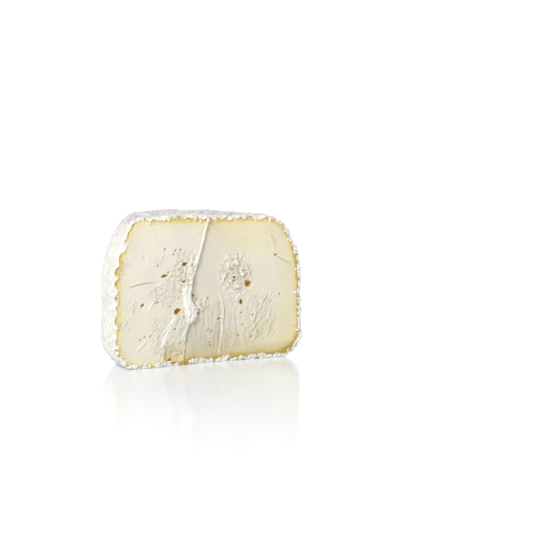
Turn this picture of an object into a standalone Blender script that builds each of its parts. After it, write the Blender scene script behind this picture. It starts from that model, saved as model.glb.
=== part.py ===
"""Half of a small drum of goat cheese with a wrinkled bloomy rind, in metres.

The drum stands on its flat base, Z up, with the origin on its own axis at the base.
A wire has cut it a little in front of that axis, so the cut face looks along -Y and the
rest of the rind curves away behind it. The cut face is torn: a long step runs down it, a
shelf and a notch lie at its foot, and small eyes open in the paste.
"""

import math

import bmesh
import bpy
from mathutils import Matrix, Vector, noise

MM = 0.001

# Driving dimensions of the drum
DRUM_RADIUS = 25.0 * MM
DRUM_HEIGHT = 35.4 * MM
TOP_RIM_REACH = 8.3 * MM
TOP_RIM_DROP = 17.8 * MM
BASE_RIM_REACH = 7.6 * MM
BASE_RIM_RISE = 6.7 * MM
BASE_SINK = 0.45 * MM
LEAN = 0.03

# Where the drum is cut, and the ground that flattens its base
CUT_OFFSET = 2.5 * MM
BLOCK_DEPTH = 45.0 * MM
BLOCK_MARGIN = 3.0 * MM

# Relief of the rind: broad swellings and the wrinkles on them
SWELL_SPACING = 9.0 * MM
SWELL_HEIGHT = 0.45 * MM
WRINKLE_SPACING = 4.2 * MM
WRINKLE_HEIGHT = 0.55 * MM
WRINKLE_FLATTEN = 1.5

# Mesh density
TURN_STEPS = 112
CROWN_RINGS = 11
TOP_RIM_STEPS = 16
SIDE_ROWS = 9
BASE_RIM_STEPS = 8
CUT_COLUMNS = 56
CUT_ROWS = 38

# The step that runs down the cut face, as (x, z) from top to foot, and what it parts
STEP_LINE = [(0.0, 35.8), (-2.4, 27.5), (-4.4, 19.9), (-5.1, 15.0), (-5.4, 10.4), (-6.8, 1.0)]
STEP_FALL = 0.9 * MM
STEP_RECOVERY = 9.0 * MM
STEP_WALL = 0.5 * MM
LIP_HEIGHT = 0.45 * MM
LIP_WIDTH = 0.8 * MM

# The torn edge left of the step's foot: between the two lies a lower shelf
TEAR_LINE = [(-8.6, 13.6), (-10.6, 10.8), (-12.2, 7.0), (-12.7, 0.0)]
SHELF_FALL = 0.55 * MM

# The notch at the foot of that shelf
NOTCH_CENTRE = (-9.6, 2.0)
NOTCH_HALF_WIDTH = 2.7 * MM
NOTCH_HALF_HEIGHT = 3.4 * MM
NOTCH_FALL = 1.6 * MM

# A rib that stands out right of the middle, low on the face
RIB_LINE = [(3.1, 17.0), (3.6, 10.8), (2.8, 2.2)]
RIB_HEIGHT = 0.4 * MM
RIB_WIDTH = 0.9 * MM

# The face turns in towards its lower right edge
FOOT_ROLL_HEIGHT = 4.5 * MM
FOOT_ROLL_FALL = 0.9 * MM
FOOT_ROLL_START = -6.0 * MM

# Uneven paste between the marks
PASTE_SPACING = 7.0 * MM
PASTE_HEIGHT = 0.35 * MM

# Eyes of the paste: x, z, width, height and depth in millimetres, then the turn in degrees
EYES = [
    (-8.5, 13.2, 1.8, 1.3, 1.2, 25),
    (10.4, 18.8, 1.5, 1.6, 1.2, -30),
    (8.6, 14.6, 1.1, 1.2, 1.0, 0),
    (-11.8, 22.0, 1.8, 0.8, 0.9, 12),
    (-6.3, 24.5, 1.5, 0.8, 0.8, 8),
    (-6.7, 20.4, 1.0, 0.7, 0.7, 0),
    (-17.5, 15.3, 1.3, 0.8, 0.8, 30),
    (6.7, 20.6, 1.0, 0.7, 0.8, 5),
    (2.6, 10.6, 1.0, 0.7, 0.7, 0),
]

RIND_COLOUR = (0.86, 0.83, 0.76, 1.0)


def smooth_rise(low, high, value):
    """0 below low, 1 above high, and a smooth rise between them."""
    share = min(1.0, max(0.0, (value - low) / (high - low)))
    return share * share * (3.0 - 2.0 * share)


def line_x(line, z):
    """The x at height z of a line of (x, z) in millimetres that runs from top to foot."""
    height = z / MM
    for (upper_x, upper_z), (lower_x, lower_z) in zip(line, line[1:]):
        if height >= lower_z:
            share = (upper_z - height) / (upper_z - lower_z)
            return (upper_x + (lower_x - upper_x) * share) * MM
    return line[-1][0] * MM


def along_line(line, z):
    """1 where height z lies within the line's ends, fading to 0 over a millimetre past them."""
    top, foot = line[0][1] * MM, line[-1][1] * MM
    return smooth_rise(top + MM, top, z) * smooth_rise(foot - MM, foot, z)


def bump(distance, width):
    """A rounded ridge of height 1 and the given full width, across a line."""
    share = min(1.0, abs(distance) / (width / 2))
    return (1.0 - share * share) ** 2


def step_depth(x, z):
    """How far the cut lies behind its plane right of the long step, less the step's lip."""
    right = x - line_x(STEP_LINE, z)
    fall = STEP_FALL * smooth_rise(0.0, STEP_WALL, right)
    recovery = math.exp(-((max(right, 0.0) / STEP_RECOVERY) ** 2))
    return fall * recovery - LIP_HEIGHT * bump(right + LIP_WIDTH / 2, LIP_WIDTH)


def shelf_depth(x, z):
    """The lower shelf between the torn edge and the step."""
    right = x - line_x(TEAR_LINE, z)
    left = line_x(STEP_LINE, z) - x
    inside = smooth_rise(0.0, STEP_WALL, right) * smooth_rise(-STEP_WALL, 0.0, left)
    lip = bump(right + LIP_WIDTH / 2, LIP_WIDTH)
    return (SHELF_FALL * inside - LIP_HEIGHT * lip) * along_line(TEAR_LINE, z)


def notch_depth(x, z):
    """The scooped notch at the foot of the shelf."""
    across = (x - NOTCH_CENTRE[0] * MM) / NOTCH_HALF_WIDTH
    up = (z - NOTCH_CENTRE[1] * MM) / NOTCH_HALF_HEIGHT
    return NOTCH_FALL * smooth_rise(1.0, 0.45, math.hypot(across, up))


def foot_roll_depth(x, z):
    """The face turning in above its lower right edge."""
    return (
        FOOT_ROLL_FALL
        * smooth_rise(FOOT_ROLL_HEIGHT, 0.0, z)
        * smooth_rise(FOOT_ROLL_START, FOOT_ROLL_START + 3 * MM, x)
    )


def cut_y(x, z):
    """The y of the cut face at (x, z): the cut plane with all its marks."""
    paste = PASTE_HEIGHT * noise.noise(Vector((x, 0.0, z)) / PASTE_SPACING)
    rib = RIB_HEIGHT * bump(x - line_x(RIB_LINE, z), RIB_WIDTH) * along_line(RIB_LINE, z)
    marks = step_depth(x, z) + shelf_depth(x, z) + notch_depth(x, z) + foot_roll_depth(x, z)
    return -CUT_OFFSET + marks + paste - rib


def rind_relief(point):
    """How far the rind stands out of the plain drum at a point."""
    swell = SWELL_HEIGHT * noise.noise(point / SWELL_SPACING)
    flattened = Vector((point.x, point.y, point.z * WRINKLE_FLATTEN)) / WRINKLE_SPACING
    wrinkle = WRINKLE_HEIGHT * (0.5 - 2.0 * abs(noise.noise(flattened)))
    return swell + wrinkle


def rim_arc(centre_radius, centre_z, reach, rise, start, end, steps):
    """Points (radius, z) of an elliptical rim from angle start to end, in degrees above the flat."""
    arc = []
    for step in range(steps + 1):
        angle = math.radians(start + (end - start) * step / steps)
        arc.append((centre_radius + reach * math.cos(angle), centre_z + rise * math.sin(angle)))
    return arc


def drum_profile():
    """The drum's outline as (radius, z), from the middle of the top down to the middle of the base."""
    crown_radius = DRUM_RADIUS - TOP_RIM_REACH
    base_radius = DRUM_RADIUS - BASE_RIM_REACH
    side_top = DRUM_HEIGHT - TOP_RIM_DROP
    side_foot = BASE_RIM_RISE - BASE_SINK
    crown = [(crown_radius * ring / CROWN_RINGS, DRUM_HEIGHT) for ring in range(CROWN_RINGS)]
    top_rim = rim_arc(crown_radius, side_top, TOP_RIM_REACH, TOP_RIM_DROP, 90, 0, TOP_RIM_STEPS)
    side = [
        (DRUM_RADIUS, side_top + (side_foot - side_top) * row / SIDE_ROWS)
        for row in range(1, SIDE_ROWS)
    ]
    base_rim = rim_arc(base_radius, side_foot, BASE_RIM_REACH, BASE_RIM_RISE, 0, -90, BASE_RIM_STEPS)
    return crown + top_rim + side + base_rim + [(0.0, -BASE_SINK)]


def link(obj, collection):
    """Puts an object in one collection and returns it."""
    collection.objects.link(obj)
    return obj


def mesh_object(name, shape, collection):
    """Turns a bmesh into a named object."""
    bmesh.ops.recalc_face_normals(shape, faces=shape.faces)
    mesh = bpy.data.meshes.new(name)
    shape.to_mesh(mesh)
    shape.free()
    return link(bpy.data.objects.new(name, mesh), collection)


def turned_drum(collection):
    """The plain drum, its profile turned by a Screw modifier and then made a mesh."""
    profile = bpy.data.meshes.new("drum_profile")
    points = drum_profile()
    edges = [(index, index + 1) for index in range(len(points) - 1)]
    profile.from_pydata([(radius, 0.0, z) for radius, z in points], edges, [])
    turning = link(bpy.data.objects.new("drum_turning", profile), collection)
    screw = turning.modifiers.new("turn", "SCREW")
    screw.steps = TURN_STEPS
    screw.render_steps = TURN_STEPS
    screw.use_merge_vertices = True
    screw.merge_threshold = 0.01 * MM
    graph = bpy.context.evaluated_depsgraph_get()
    mesh = bpy.data.meshes.new_from_object(turning.evaluated_get(graph))
    bpy.data.objects.remove(turning)
    return mesh


def cheese_drum(collection):
    """The whole drum before the cut: its wrinkled rind, leaning so that its left side is taller."""
    shape = bmesh.new()
    shape.from_mesh(turned_drum(collection))
    shape.normal_update()
    for vertex in shape.verts:
        out = rind_relief(vertex.co)
        vertex.co += vertex.normal * out
        vertex.co.z *= 1.0 - LEAN * vertex.co.x / DRUM_RADIUS
    return mesh_object("cheese_half", shape, collection)


def cut_block(collection):
    """The block that takes the front of the drum away, its back face the torn cut face.

    The columns of its grid lean with the long step, so that the step's edge stays straight.
    """
    shape = bmesh.new()
    half_width = DRUM_RADIUS + BLOCK_MARGIN
    half_height = DRUM_HEIGHT / 2 + BLOCK_MARGIN
    upright = Matrix.Rotation(math.radians(90), 4, "X")
    bmesh.ops.create_grid(
        shape, x_segments=CUT_COLUMNS, y_segments=CUT_ROWS, size=1.0, matrix=upright
    )
    for vertex in shape.verts:
        across = vertex.co.x
        z = vertex.co.z * half_height + DRUM_HEIGHT / 2
        x = across * half_width + (1.0 - abs(across)) * line_x(STEP_LINE, z)
        vertex.co = Vector((x, cut_y(x, z), z))
    front = bmesh.ops.extrude_face_region(shape, geom=list(shape.faces))
    for item in front["geom"]:
        if isinstance(item, bmesh.types.BMVert):
            item.co.y = -BLOCK_DEPTH
    return mesh_object("cut_block", shape, collection)


def eye_cutter(index, eye, collection):
    """A flattened ball that opens one eye in the cut face."""
    x, z, width, height, depth, turn = eye
    place = Vector((x * MM, cut_y(x * MM, z * MM), z * MM))
    half_sizes = Vector((width, 2 * depth, height)) * MM / 2
    shape = bmesh.new()
    bmesh.ops.create_icosphere(shape, subdivisions=2, radius=1.0)
    bmesh.ops.scale(shape, vec=half_sizes, verts=shape.verts)
    turned = Matrix.Rotation(math.radians(-turn), 4, "Y")
    bmesh.ops.transform(shape, matrix=Matrix.Translation(place) @ turned, verts=shape.verts)
    return mesh_object(f"eye_cutter_{index}", shape, collection)


def ground_block(collection):
    """The box that flattens the base at z = 0."""
    shape = bmesh.new()
    bmesh.ops.create_cube(shape, size=1.0)
    side = 2 * (DRUM_RADIUS + BLOCK_MARGIN)
    bmesh.ops.scale(shape, vec=(side, side, BLOCK_MARGIN), verts=shape.verts)
    bmesh.ops.translate(shape, vec=(0.0, 0.0, -BLOCK_MARGIN / 2), verts=shape.verts)
    return mesh_object("ground_block", shape, collection)


def rind_material():
    """Matt white bloomy rind."""
    material = bpy.data.materials.new("bloomy_rind")
    material.use_nodes = True
    surface = material.node_tree.nodes["Principled BSDF"]
    surface.inputs["Base Color"].default_value = RIND_COLOUR
    surface.inputs["Roughness"].default_value = 0.75
    surface.inputs["Metallic"].default_value = 0.0
    return material


def main():
    """Builds the half cheese: the drum less its cutters."""
    for obj in list(bpy.data.objects):
        bpy.data.objects.remove(obj)
    parts = bpy.data.collections.new("goat_cheese_half")
    cutters = bpy.data.collections.new("cutters")
    bpy.context.scene.collection.children.link(parts)
    bpy.context.scene.collection.children.link(cutters)

    cheese = cheese_drum(parts)
    cheese.data.materials.append(rind_material())

    cut_block(cutters)
    ground_block(cutters)
    for index, eye in enumerate(EYES):
        eye_cutter(index, eye, cutters)
    for cutter in cutters.objects:
        cutter.hide_render = True
        cutter.display_type = "WIRE"

    cut = cheese.modifiers.new("cut", "BOOLEAN")
    cut.operation = "DIFFERENCE"
    cut.operand_type = "COLLECTION"
    cut.collection = cutters
    cut.solver = "EXACT"
    cheese.data.shade_smooth()
    cheese.data.set_sharp_from_angle(angle=math.radians(50))


main()
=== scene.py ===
"""Half of a small drum of goat cheese as it looks: torn ivory paste in a wrinkled white rind.

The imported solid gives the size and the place. Three pieces that fit together stand for it: the
paste with its cut face, the rind as a closed skin round it, and the crumbs of rind that the
cutting wire left along the edge. Shapes are worked out in millimetres in the part's own frame
(Z up, the drum's axis at the origin, the cut face looking along -Y), and a finished mesh is
scaled to metres.
"""

import logging
import math
from collections.abc import Sequence
from dataclasses import dataclass, field
from enum import Enum
from random import Random

import bmesh
import bpy
import numpy as np
from mathutils import Matrix, Vector, noise
from mathutils.kdtree import KDTree


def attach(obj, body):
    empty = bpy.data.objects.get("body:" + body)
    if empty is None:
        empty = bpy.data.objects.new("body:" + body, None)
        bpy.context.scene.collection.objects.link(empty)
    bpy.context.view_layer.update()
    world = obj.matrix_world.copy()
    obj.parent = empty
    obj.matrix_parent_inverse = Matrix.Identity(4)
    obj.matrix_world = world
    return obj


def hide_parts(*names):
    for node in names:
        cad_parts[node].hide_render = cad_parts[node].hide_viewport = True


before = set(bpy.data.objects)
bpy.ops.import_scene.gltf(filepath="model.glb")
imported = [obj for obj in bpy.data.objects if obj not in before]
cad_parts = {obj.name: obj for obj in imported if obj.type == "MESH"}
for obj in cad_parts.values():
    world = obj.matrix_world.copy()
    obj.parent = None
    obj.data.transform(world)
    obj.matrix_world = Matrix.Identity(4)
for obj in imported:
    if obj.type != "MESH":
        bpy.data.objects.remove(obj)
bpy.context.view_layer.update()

LOG = logging.getLogger("goat_cheese")

MM = 0.001
COINCIDENT = 0.001
NO_START = (-99.0, -98.0)
SOLID_NODE = "cheese_half"
BODY = "root"

Field = np.ndarray
Points = np.ndarray
Point2 = tuple[float, float]
Band = tuple[float, float, float, float]
Colour = tuple[float, float, float]


class Slot(Enum):
    """The record's material slots."""

    RIND = "rind"
    PASTE = "paste"


def smooth_rise(low: float, high: float, value: Field) -> Field:
    """0 at low, 1 at high and a smooth rise between them; low may be the larger one."""
    share = np.clip((value - low) / (high - low), 0.0, 1.0)
    return share * share * (3.0 - 2.0 * share)


def within(band: Band, value: Field) -> Field:
    """1 between a band's two middle numbers, fading to 0 at its outer ones."""
    start, full, end, gone = band
    return smooth_rise(start, full, value) * smooth_rise(gone, end, value)


def hump(distance: Field, width: float) -> Field:
    """A rounded ridge of height 1 and the given full width, across a line."""
    share = np.minimum(1.0, np.abs(distance) / (width / 2))
    return (1.0 - share * share) ** 2


def lumps(points: Points, size: float, seed: float = 0.0) -> Field:
    """Smooth noise, about -1 to 1.

    Args:
        points: (n, 3) places in millimetres.
        size: How far apart the lumps are, in millimetres.
        seed: Moves the pattern, so that two of one size differ.

    Returns:
        One value for each point.
    """
    return np.array([noise.noise(place) for place in (points / size + seed).tolist()])


def streaks(points: Points, lean: float, length: float, width: float, seed: float) -> Field:
    """Smooth noise drawn out along one direction of the cut face.

    Args:
        points: (n, 3) places in millimetres.
        lean: Direction of the streaks in degrees, from +X towards +Z.
        length: How long the streaks are, in millimetres.
        width: How far apart they are, in millimetres.
        seed: Moves the pattern.

    Returns:
        One value for each point, about -1 to 1.
    """
    angle = math.radians(lean)
    along = points[:, 0] * math.cos(angle) + points[:, 2] * math.sin(angle)
    across = points[:, 2] * math.cos(angle) - points[:, 0] * math.sin(angle)
    drawn = np.column_stack((along / length, np.full_like(along, seed), across / width))
    return lumps(drawn, 1.0)


def ridges(points: Points, lean: float, length: float, width: float, seed: float) -> Field:
    """Streaks with sharp crests, about -1 to 1; the arguments are those of streaks."""
    return 1.0 - 3.0 * np.abs(streaks(points, lean, length, width, seed))


def beads(points: Points, size: float, seed: float = 0.0) -> Field:
    """Rounded lumps side by side.

    Args:
        points: (n, 3) places in millimetres.
        size: How far apart the lumps are, in millimetres.
        seed: Moves the pattern.

    Returns:
        One value for each point: 1 in the middle of a lump and 0 where two meet.
    """
    places = (points / size + seed).tolist()
    nearest = np.array([noise.voronoi(place)[0][0] for place in places])
    return np.sqrt(np.clip(1.0 - (nearest / 0.75) ** 2, 0.0, 1.0))


def grooves(points: Points, size: float, width: float, seed: float = 0.0) -> Field:
    """A net of narrow furrows round rounded folds: 1 in a furrow and 0 on the folds."""
    return smooth_rise(width, 0.0, np.abs(lumps(points, size, seed)))


def line_distance(line: Sequence[Point2], x: Field, z: Field) -> tuple[Field, Field]:
    """Distance of each (x, z) from a line through points, and how far along the line it lies.

    Args:
        line: The line's points (x, z), in millimetres.
        x: Places across the cut face.
        z: Places up the cut face.

    Returns:
        The distances in millimetres, and the shares of the line's pieces from 0 to 1.
    """
    nearest = np.full(x.shape, np.inf)
    share_there = np.zeros(x.shape)
    pieces = len(line) - 1
    for index, ((x0, z0), (x1, z1)) in enumerate(zip(line, line[1:])):
        run, rise = x1 - x0, z1 - z0
        share = np.clip(((x - x0) * run + (z - z0) * rise) / (run * run + rise * rise), 0, 1)
        distance = np.hypot(x - x0 - share * run, z - z0 - share * rise)
        closer = distance < nearest
        nearest = np.where(closer, distance, nearest)
        share_there = np.where(closer, (index + share) / pieces, share_there)
    return nearest, share_there


def line_x(line: Sequence[Point2], z: Field) -> Field:
    """The x at each height of a line of (x, z) points that runs from top to foot."""
    xs, zs = zip(*reversed(line))
    return np.interp(z, zs, xs)


def positions(shape: bmesh.types.BMesh) -> Points:
    """The (n, 3) positions of a mesh's vertices."""
    return np.array([vertex.co[:] for vertex in shape.verts])


def put(verts: Sequence[bmesh.types.BMVert], points: Points) -> None:
    """Moves each vertex to its point."""
    for vertex, place in zip(verts, points.tolist()):
        vertex.co = place


def store(shape: bmesh.types.BMesh, name: str, values: Field) -> None:
    """Keeps a value for each vertex, for the mesh's material to read.

    Args:
        shape: The mesh.
        name: The attribute's name.
        values: One value for each vertex.
    """
    layer = shape.verts.layers.float.get(name) or shape.verts.layers.float.new(name)
    for vertex, value in zip(shape.verts, values.tolist()):
        vertex[layer] = value


def open_edges(edges: Sequence[bmesh.types.BMEdge]) -> list[bmesh.types.BMEdge]:
    """Those of the edges that only one face uses."""
    return [edge for edge in edges if edge.is_boundary]


def extrude_rim(
    shape: bmesh.types.BMesh, edges: Sequence[bmesh.types.BMEdge]
) -> tuple[list[bmesh.types.BMVert], list[bmesh.types.BMEdge]]:
    """Extrudes a mesh's open rim by one row.

    Args:
        shape: The mesh.
        edges: Its open rim.

    Returns:
        The new row's vertices, and the edges of the new open rim.
    """
    new = bmesh.ops.extrude_edge_only(shape, edges=edges)["geom"]
    verts = [item for item in new if isinstance(item, bmesh.types.BMVert)]
    rim = open_edges([item for item in new if isinstance(item, bmesh.types.BMEdge)])
    return verts, rim


def close_rim(shape: bmesh.types.BMesh, edges: Sequence[bmesh.types.BMEdge]) -> None:
    """Closes a mesh's open rim with a fan round its middle, and joins vertices that coincide.

    Args:
        shape: The mesh.
        edges: Its open rim.
    """
    verts, _ = extrude_rim(shape, edges)
    middle = sum((vertex.co for vertex in verts), Vector()) / len(verts)
    bmesh.ops.pointmerge(shape, verts=verts, merge_co=middle)
    bmesh.ops.remove_doubles(shape, verts=shape.verts, dist=COINCIDENT)


class Profile:
    """The drum's outline from the middle of the top, over the rims, to the middle of the base."""

    PROBE = 0.1

    def __init__(self, points: np.ndarray, side: tuple[int, int]) -> None:
        """Measures how far along the outline each of its points lies.

        Args:
            points: (n, 2) radii and heights in millimetres.
            side: The first and last point of the side, with its two rims.
        """
        self.points = points
        self.side = side
        steps = np.hypot(*np.diff(points, axis=0).T)
        self.along = np.concatenate(([0.0], np.cumsum(steps)))

    @property
    def length(self) -> float:
        """The whole outline's length."""
        return float(self.along[-1])

    def at(self, along: Field) -> tuple[Field, Field]:
        """Finds places on the outline.

        Args:
            along: Distances along it.

        Returns:
            Their radii and their heights.
        """
        return (
            np.interp(along, self.along, self.points[:, 0]),
            np.interp(along, self.along, self.points[:, 1]),
        )

    def inset(self, distance: float) -> "Profile":
        """The outline moved inwards.

        Args:
            distance: How far, in millimetres.

        Returns:
            The new outline, with its side between the same points.
        """
        before = np.column_stack(self.at(self.along - self.PROBE))
        after = np.column_stack(self.at(self.along + self.PROBE))
        run, rise = (after - before).T
        inward = np.column_stack((rise, -run)) / np.hypot(run, rise)[:, None]
        return Profile(self.points + inward * distance, self.side)

    def side_span(self, depth: float) -> tuple[float, float]:
        """Where the upright plane at a depth meets the top and the base.

        Args:
            depth: The plane's y.

        Returns:
            Both places, as distances along the outline.
        """
        first, last = self.side
        radii, along = self.points[first : last + 1, 0], self.along[first : last + 1]
        widest = int(np.argmax(radii))
        top = np.interp(abs(depth), radii[: widest + 1], along[: widest + 1])
        foot = np.interp(abs(depth), radii[widest:][::-1], along[widest:][::-1])
        return float(top), float(foot)


@dataclass(frozen=True)
class Drum:
    """The drum's plain form, in millimetres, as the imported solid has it."""

    radius: float = 25.0
    height: float = 35.4
    top_reach: float = 8.3
    top_drop: float = 17.8
    base_reach: float = 7.6
    base_rise: float = 6.7
    base_sink: float = 0.45
    dome: float = 0.5
    lean: float = 0.03
    cut: float = -2.5
    back_reach: float = 0.97
    rim_steps: int = 48
    dome_steps: int = 12

    def profile(self) -> Profile:
        """The drum's outer outline.

        Returns:
            The outline, from the middle of the top to the middle of the base.
        """
        turn = np.radians(np.linspace(90.0, 0.0, self.rim_steps + 1))
        top = np.column_stack(
            (
                self.radius - self.top_reach + self.top_reach * np.cos(turn),
                self.height - self.top_drop + self.top_drop * np.sin(turn),
            )
        )
        foot = np.column_stack(
            (
                self.radius - self.base_reach + self.base_reach * np.cos(turn[::-1]),
                self.base_rise - self.base_sink - self.base_rise * np.sin(turn[::-1]),
            )
        )
        reach = np.linspace(0.0, 1.0, self.dome_steps + 1)[:-1]
        crown = np.column_stack((reach * top[0, 0], np.full_like(reach, self.height)))
        flat = np.array([(0.0, -self.base_sink)])
        points = np.vstack((crown, top, foot, flat))
        bulge = np.clip(1.0 - (points[:, 0] / self.radius) ** 2, 0.0, 1.0)
        points[:, 1] += self.dome * bulge * (points[:, 1] > self.height - self.top_drop)
        return Profile(points, (self.dome_steps, len(points) - 2))

    def section(self, profile: Profile, across: Field, down: Field, depth: float) -> Points:
        """Places on the drum in the upright plane at a depth.

        Args:
            profile: The outline that the drum is turned from.
            across: -1 at the left wall to 1 at the right one.
            down: 0 at the top to 1 at the base, along the side.
            depth: The plane's y.

        Returns:
            (n, 3) points in millimetres, without the drum's lean.
        """
        top, foot = profile.side_span(depth)
        radius, height = profile.at(top + (foot - top) * down)
        half_width = np.sqrt(np.maximum(radius * radius - depth * depth, 0.0))
        return np.column_stack((across * half_width, np.full_like(height, depth), height))

    def line(
        self,
        shape: bmesh.types.BMesh,
        rim: Sequence[bmesh.types.BMEdge],
        inset: float,
        start: float,
        steps: int,
    ) -> None:
        """Extrudes an open rim back along the inside of the drum and closes it.

        Args:
            shape: The mesh, which keeps each rim vertex's place across and down.
            rim: Its open rim, at the cut.
            inset: How far inside the drum's outline the new rows lie.
            start: How far behind the cut the first row lies.
            steps: How many rows there are.
        """
        profile = self.profile().inset(inset)
        across_layer = shape.verts.layers.float["across"]
        down_layer = shape.verts.layers.float["down"]
        first = self.cut + start
        last = (self.radius - inset) * self.back_reach
        for step in range(steps):
            depth = first + (last - first) * math.sin(math.pi / 2 * step / (steps - 1))
            verts, rim = extrude_rim(shape, rim)
            across = np.array([vertex[across_layer] for vertex in verts])
            down = np.array([vertex[down_layer] for vertex in verts])
            put(verts, self.leaned(self.section(profile, across, down, depth)))
        close_rim(shape, rim)

    def leaned(self, points: Points) -> Points:
        """Gives places the drum's lean: its left side is taller than its right one.

        Args:
            points: (n, 3) places on the upright drum.

        Returns:
            The same places on the leaning drum.
        """
        moved = points.copy()
        moved[:, 2] *= 1.0 - self.lean * points[:, 0] / self.radius
        return moved


@dataclass(frozen=True)
class Stroke:
    """A drag mark on the cut face: a ridge, or with a negative height a crease."""

    line: tuple[Point2, ...]
    width: float
    height: float


@dataclass(frozen=True)
class Eye:
    """A small hole in the paste, its sizes in millimetres and its turn in degrees."""

    x: float
    z: float
    width: float
    height: float
    depth: float
    turn: float = 0.0


@dataclass(frozen=True)
class Patch:
    """A soft-edged region of the cut face: its bands of x and z, in millimetres."""

    x: Band
    z: Band

    def share(self, x: Field, z: Field) -> Field:
        """1 inside the region, fading to 0 at its edges."""
        return within(self.x, x) * within(self.z, z)


@dataclass(frozen=True)
class CutLook:
    """What the cut face looks like at each of its points."""

    height: Field
    pale: Field
    eye: Field
    rough: Field
    darkening: Field
    notch: Field


@dataclass(frozen=True)
class CutFace:
    """The torn cut face: how far it stands out of the cut plane, in millimetres."""

    step_line: tuple[Point2, ...] = (
        (0.0, 36.0), (-0.6, 33.5), (-1.9, 28.9), (-3.1, 25.0), (-4.4, 21.1), (-4.8, 18.8),
        (-5.1, 15.0), (-5.2, 10.4), (-6.0, 8.1), (-6.5, 5.5), (-6.8, 1.0),
    )
    step_fall: float = 0.65
    step_recovery: float = 9.0
    step_wall: float = 0.4
    torn_span: Band = (17.0, 18.6, 25.0, 28.0)
    lip_height: float = 0.28
    lip_width: float = 0.42

    flap_left: tuple[Point2, ...] = ((-7.2, 19.4), (-7.1, 16.9), (-6.8, 13.5), (-6.3, 10.2))
    flap_right: tuple[Point2, ...] = (
        (-4.5, 19.4), (-4.5, 17.1), (-4.1, 15.3), (-3.3, 14.1), (-3.0, 12.7), (-3.3, 11.4),
        (-3.9, 10.4), (-4.8, 9.9),
    )
    flap_span: Point2 = (9.9, 19.6)
    flap_height: float = 0.42
    flap_cover: float = 0.7

    ledge_line: tuple[Point2, ...] = ((-5.6, 10.0), (-3.2, 12.0), (-0.4, 13.8))
    ledge_width: Band = (-5.4, -4.6, -1.2, 0.6)
    ledge_height: float = 0.42

    tear_line: tuple[Point2, ...] = (
        (-9.2, 13.0), (-9.9, 11.7), (-11.3, 9.8), (-12.0, 7.9), (-12.6, 5.6), (-12.5, 0.0),
    )
    shelf_fall: float = 0.12
    ridge_height: float = 0.32
    notch_top: float = 5.4
    notch_left: float = -12.25
    notch_fall: float = 0.8
    swirl_centre: Point2 = (-8.3, 1.9)
    swirl_radius: float = 1.25

    rib_line: tuple[Point2, ...] = (
        (2.3, 18.2), (3.5, 15.6), (3.9, 12.9), (3.7, 9.0), (3.2, 5.5), (2.9, 2.6),
    )
    rib_width: float = 0.48
    rib_height: float = 0.3
    rib_furrow: Band = (2.6, 4.0, 14.0, 17.0)
    rib_furrow_depth: float = 0.16
    crumb_centre: Point2 = (7.4, 21.4)
    crumb_fade: Point2 = (6.6, 2.4)
    crumb_height: float = 0.5
    dragged: Patch = Patch((9.5, 12.5, 16.0, 19.5), (3.5, 5.5, 14.5, 18.5))
    drag_height: float = 0.12
    furrowed: Patch = Patch((-6.0, -3.0, 10.5, 13.0), (2.5, 4.0, 14.0, 18.5))
    furrow_height: float = 0.08
    left_side: Patch = Patch((*NO_START, -8.0, -5.5), (*NO_START, 25.5, 30.0))
    by_step: Patch = Patch((-11.0, -6.5, -4.0, -3.0), (17.0, 19.5, 26.0, 29.5))
    lower_shelf: Patch = Patch((-13.0, -12.0, -6.5, -5.5), (*NO_START, 11.5, 13.0))

    foot_roll_height: float = 4.5
    foot_roll_fall: float = 0.9
    foot_roll_start: float = -6.0

    eyes: tuple[Eye, ...] = (
        Eye(-8.5, 13.2, 2.0, 1.4, 1.2, 30), Eye(10.4, 18.9, 2.3, 1.6, 1.2, -40),
        Eye(8.6, 14.6, 1.05, 1.15, 1.2), Eye(-11.7, 22.1, 1.9, 0.75, 0.9, 12),
        Eye(-6.3, 24.6, 1.5, 0.75, 0.9, 8), Eye(-6.6, 20.4, 0.95, 0.65, 0.8, 5),
        Eye(-17.5, 15.3, 1.2, 0.75, 0.8, 35), Eye(6.8, 20.7, 0.95, 0.6, 0.9, 5),
        Eye(6.8, 19.8, 0.6, 0.4, 0.6), Eye(2.7, 10.7, 0.95, 0.45, 0.7, 5),
        Eye(-3.9, 16.9, 0.5, 0.8, 0.6, 20), Eye(-3.0, 15.9, 0.6, 0.45, 0.5, 30),
        Eye(-7.0, 13.0, 0.3, 0.7, 0.4), Eye(-2.6, 12.5, 0.9, 0.35, 0.5, 40),
        Eye(-10.2, 1.5, 1.0, 0.8, 0.5, 20), Eye(-9.2, 0.8, 1.4, 0.5, 0.4, 5),
        Eye(18.0, 25.6, 1.1, 0.5, 0.5, 15), Eye(6.2, 22.6, 0.3, 0.7, 0.4, -15),
        Eye(7.4, 23.2, 0.4, 0.5, 0.4, 40), Eye(8.0, 21.4, 0.3, 0.6, 0.4, 10),
        Eye(9.0, 22.4, 0.5, 0.3, 0.4, -30),
    )
    pores: tuple[Point2, ...] = (
        (-9.2, 9.1), (-13.5, 15.8), (-10.3, 14.6), (-17.0, 7.6), (-15.5, 7.7), (-18.0, 7.0),
        (-9.3, 27.2), (-11.6, 28.6), (-8.8, 28.1), (-7.5, 28.2), (-7.7, 23.4), (-13.4, 24.7),
        (19.0, 15.8), (7.8, 6.3), (11.2, 5.9), (7.8, 26.1), (-0.1, 8.1),
        (0.8, 7.8), (-0.1, 16.0), (8.6, 11.9), (8.8, 8.9), (-4.0, 16.6),
        (0.2, 5.1), (0.4, 4.3), (-0.9, 14.2), (11.7, 11.1), (-10.8, 22.9), (-6.8, 11.9),
    )
    pore_width: float = 0.6
    pore_depth: float = 0.4

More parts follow.
